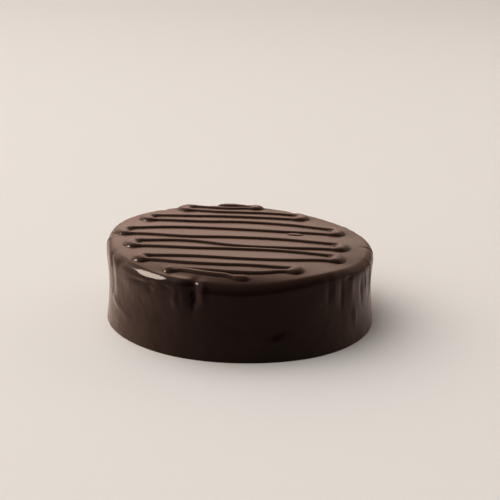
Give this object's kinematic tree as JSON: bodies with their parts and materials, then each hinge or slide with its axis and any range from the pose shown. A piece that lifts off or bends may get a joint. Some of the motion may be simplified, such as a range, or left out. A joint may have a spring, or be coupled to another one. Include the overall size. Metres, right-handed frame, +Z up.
{
  "type": "chocolate glazed cake",
  "caption": "Whole round chocolate cake with a rounded shoulder, covered in dark poured glaze, with a piped zigzag line of glaze across its top.",
  "frame": {"origin": "middle of the base, on the surface that the cake stands on", "axes": "+Z up, -Y towards the front of the cake, +X to the right seen from the front; the piped strokes run along X"},
  "size_m": [0.2157, 0.2172, 0.0683],
  "materials": {
    "glaze": "satin dark chocolate glaze"
  },
  "bodies": {
    "root": {"cake": "glaze"}
  },
  "joints": []
}
